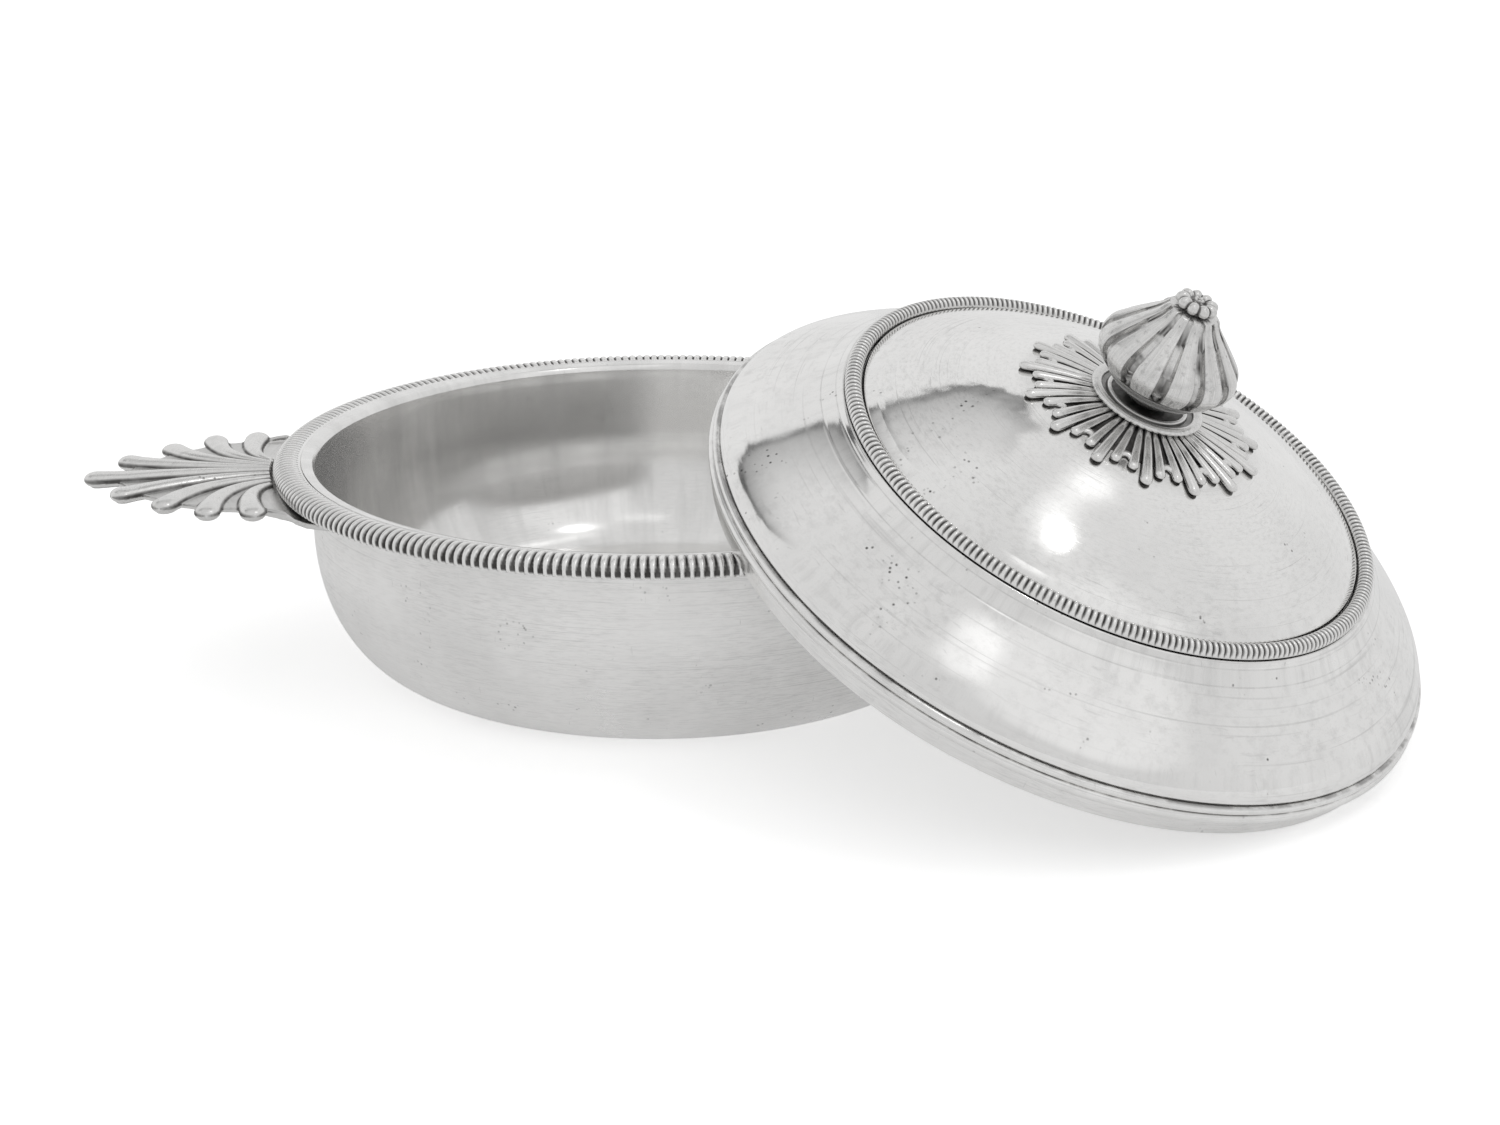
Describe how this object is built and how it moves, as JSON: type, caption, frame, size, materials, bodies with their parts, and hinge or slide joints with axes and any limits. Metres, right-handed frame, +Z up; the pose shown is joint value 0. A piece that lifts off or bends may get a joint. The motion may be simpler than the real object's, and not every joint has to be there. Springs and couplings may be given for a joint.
{
  "type": "covered ecuelle",
  "caption": "Shallow round silver bowl with two flat palmette handles and a raised lid with a bud finial, the lid off and leaning.",
  "frame": {"origin": "centre of the bowl's flat underside, on the table", "axes": "+X through both handles, towards the one under the lid; +Z up out of the bowl; the lid leans over +X and -Y"},
  "size_m": [0.3134, 0.2537, 0.1092],
  "materials": {
    "polished_silver": "old polished silver with fine scratches and small pits",
    "worn_silver": "softly worn polished silver, darker in the grooves",
    "cast_silver": "cast and chased silver, bright on the ribs and grey in the webs",
    "dark_silver": "chased silver with dark patina in the recesses"
  },
  "bodies": {
    "bowl": {"bowl_shell": "polished_silver", "rim_gadroon": "worn_silver", "handle_left": "cast_silver", "handle_right": "cast_silver"},
    "lid": {"lid_shell": "polished_silver", "lid_bezel": "polished_silver", "lid_rim_moulding": "worn_silver", "lid_gadroon": "worn_silver", "leaf_rosette": "dark_silver", "finial_collar": "worn_silver", "finial_bud": "cast_silver", "finial_flower": "dark_silver", "finial_stud": "dark_silver", "finial_washer": "worn_silver", "finial_nut": "dark_silver"}
  },
  "joints": [
    {"name": "lid_lift", "type": "slide", "parent": "bowl", "child": "lid", "axis": [0.2748, -0.3465, 0.8969], "range_m": [0, 0.12]}
  ]
}
